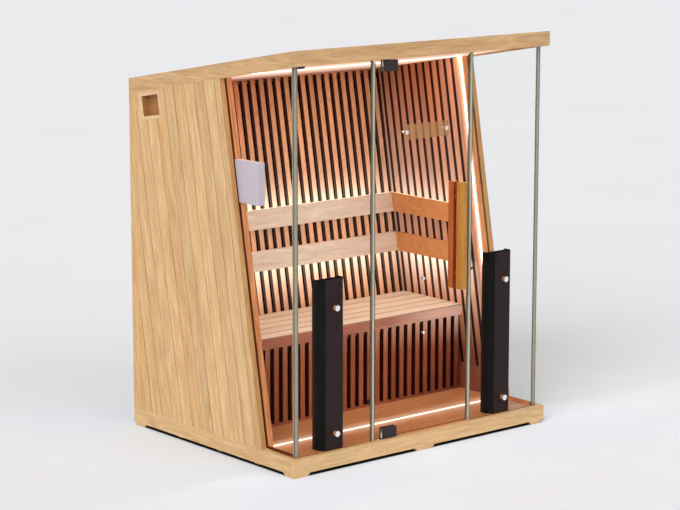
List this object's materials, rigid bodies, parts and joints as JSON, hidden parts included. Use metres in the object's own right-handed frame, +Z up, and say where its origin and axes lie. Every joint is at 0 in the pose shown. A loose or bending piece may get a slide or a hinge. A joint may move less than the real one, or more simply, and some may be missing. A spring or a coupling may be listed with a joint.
{
  "type": "infrared sauna cabin",
  "caption": "Timber sauna cabin with a sloped roof, leaning slatted walls, bench, backrests, light lines, slim heaters and a glass front with a pivoting door.",
  "frame": {"origin": "on the floor under the middle of the bounding box, 8 mm in front of the middle of the base because the outer handle stands out in front", "axes": "+Z up, +X to the right as seen from the front, the glass front faces -Y"},
  "size_m": [1.65, 1.336, 2.022],
  "materials": {
    "pale_wood": "oiled pale softwood boards",
    "cedar": "reddish cedar, satin",
    "bench_wood": "light sanded hardwood",
    "honey_wood": "varnished honey-brown wood",
    "heater_film": "matt dark heating panel",
    "light": "glowing warm white diffuser",
    "clear_glass": "clear polished toughened glass",
    "seal": "olive-grey flexible seal",
    "black_metal": "satin black coating",
    "copper": "polished copper-toned metal",
    "smoked_acrylic": "translucent bronze acrylic",
    "grey_plastic": "satin light grey plastic",
    "dark_glass": "glossy black screen"
  },
  "bodies": {
    "cabin": {"front_skirt": "pale_wood", "rear_skirt": "pale_wood", "left_skirt": "pale_wood", "right_skirt": "pale_wood", "floor_runner_front": "pale_wood", "floor_runner_middle": "pale_wood", "floor_runner_rear": "pale_wood", "left_outer_wall": "pale_wood", "right_outer_wall": "pale_wood", "rear_wall": "pale_wood", "vent_frame": "pale_wood", "roof_fascia": "pale_wood", "roof_cover": "pale_wood", "left_front_post": "cedar", "right_front_post": "cedar", "left_slat_panel": "cedar", "right_slat_panel": "cedar", "back_slat_panel": "cedar", "kick_slat_panel": "cedar", "ceiling_panel": "cedar", "floor_deck": "bench_wood", "bench_seat": "bench_wood", "backrest_upper": "bench_wood", "backrest_lower": "bench_wood", "left_heater_panel": "heater_film", "right_heater_panel": "heater_film", "back_heater_panel": "heater_film", "calf_heater_panel": "heater_film", "heater_emitter_left": "heater_film", "heater_emitter_right": "heater_film", "led_backrest_upper": "light", "led_backrest_lower": "light", "led_floor": "light", "led_ceiling": "light", "led_left": "light", "led_right": "light", "glass_left_side": "clear_glass", "glass_right_side": "clear_glass", "glass_front_left": "clear_glass", "glass_front_right": "clear_glass", "corner_seal_left": "seal", "corner_seal_right": "seal", "joint_seal_left": "seal", "joint_seal_right": "seal", "heater_cover_left": "black_metal", "heater_cover_right": "black_metal", "pivot_top": "black_metal", "pivot_bottom": "black_metal", "power_unit": "black_metal", "heater_mount_left": "copper", "heater_mount_right": "copper", "control_box": "grey_plastic", "control_screen": "dark_glass"},
    "shutter": {"vent_shutter": "pale_wood"},
    "door": {"door_glass": "clear_glass", "door_patch_top": "black_metal", "door_patch_bottom": "black_metal", "handle_outer": "honey_wood", "handle_inner": "honey_wood", "plaque": "smoked_acrylic"}
  },
  "joints": [
    {"name": "door_pivot", "type": "hinge", "parent": "cabin", "child": "door", "pos_m": [-0.244, -0.619, 0.09], "axis": [0, 0, -1], "range_deg": [0, 90]},
    {"name": "shutter_slide", "type": "slide", "parent": "cabin", "child": "shutter", "axis": [0, -0.9848, 0.1736], "range_m": [0, 0.11]}
  ]
}
